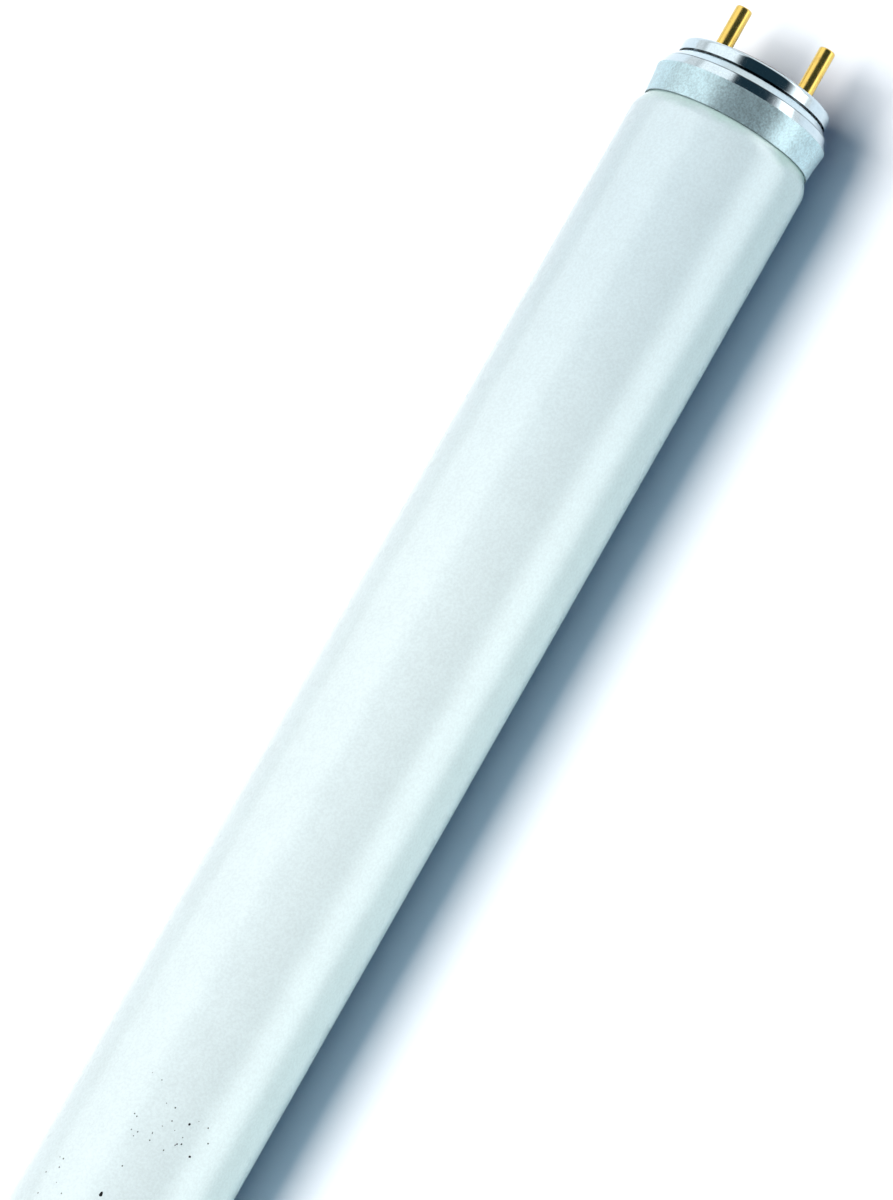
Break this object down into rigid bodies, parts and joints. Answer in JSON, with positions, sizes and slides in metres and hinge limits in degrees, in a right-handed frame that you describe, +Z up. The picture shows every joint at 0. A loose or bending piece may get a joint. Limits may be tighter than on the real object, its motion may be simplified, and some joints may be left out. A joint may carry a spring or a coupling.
{
  "type": "fluorescent tube",
  "caption": "Straight double-ended fluorescent lamp: white coated glass tube with crimped aluminium end caps and brass contact pins, for linear lampholders.",
  "frame": {"origin": "middle of the tube, on its axis", "axes": "+X along the tube's axis, +Y from the front pin to the back pin of each cap, +Z up with the lamp lying on its side and its pins level"},
  "size_m": [0.604, 0.026, 0.026],
  "materials": {
    "coated_glass": "clear glass over a white inner coating, glossy and opaque",
    "cap_aluminium": "satin skirt, polished shoulder and crown",
    "plate_phenolic": "moulded, dull",
    "basing_cement": "hard, grainy",
    "pin_brass": "drawn, bright",
    "lead_wire": "drawn, plain"
  },
  "bodies": {
    "root": {"glass_tube": "coated_glass", "right_cap_shell": "cap_aluminium", "right_insulating_plate": "plate_phenolic", "right_cement_ring": "basing_cement", "right_front_pin": "pin_brass", "right_front_lead_wire": "lead_wire", "right_back_pin": "pin_brass", "right_back_lead_wire": "lead_wire", "left_cap_shell": "cap_aluminium", "left_insulating_plate": "plate_phenolic", "left_cement_ring": "basing_cement", "left_front_pin": "pin_brass", "left_front_lead_wire": "lead_wire", "left_back_pin": "pin_brass", "left_back_lead_wire": "lead_wire"}
  },
  "joints": []
}
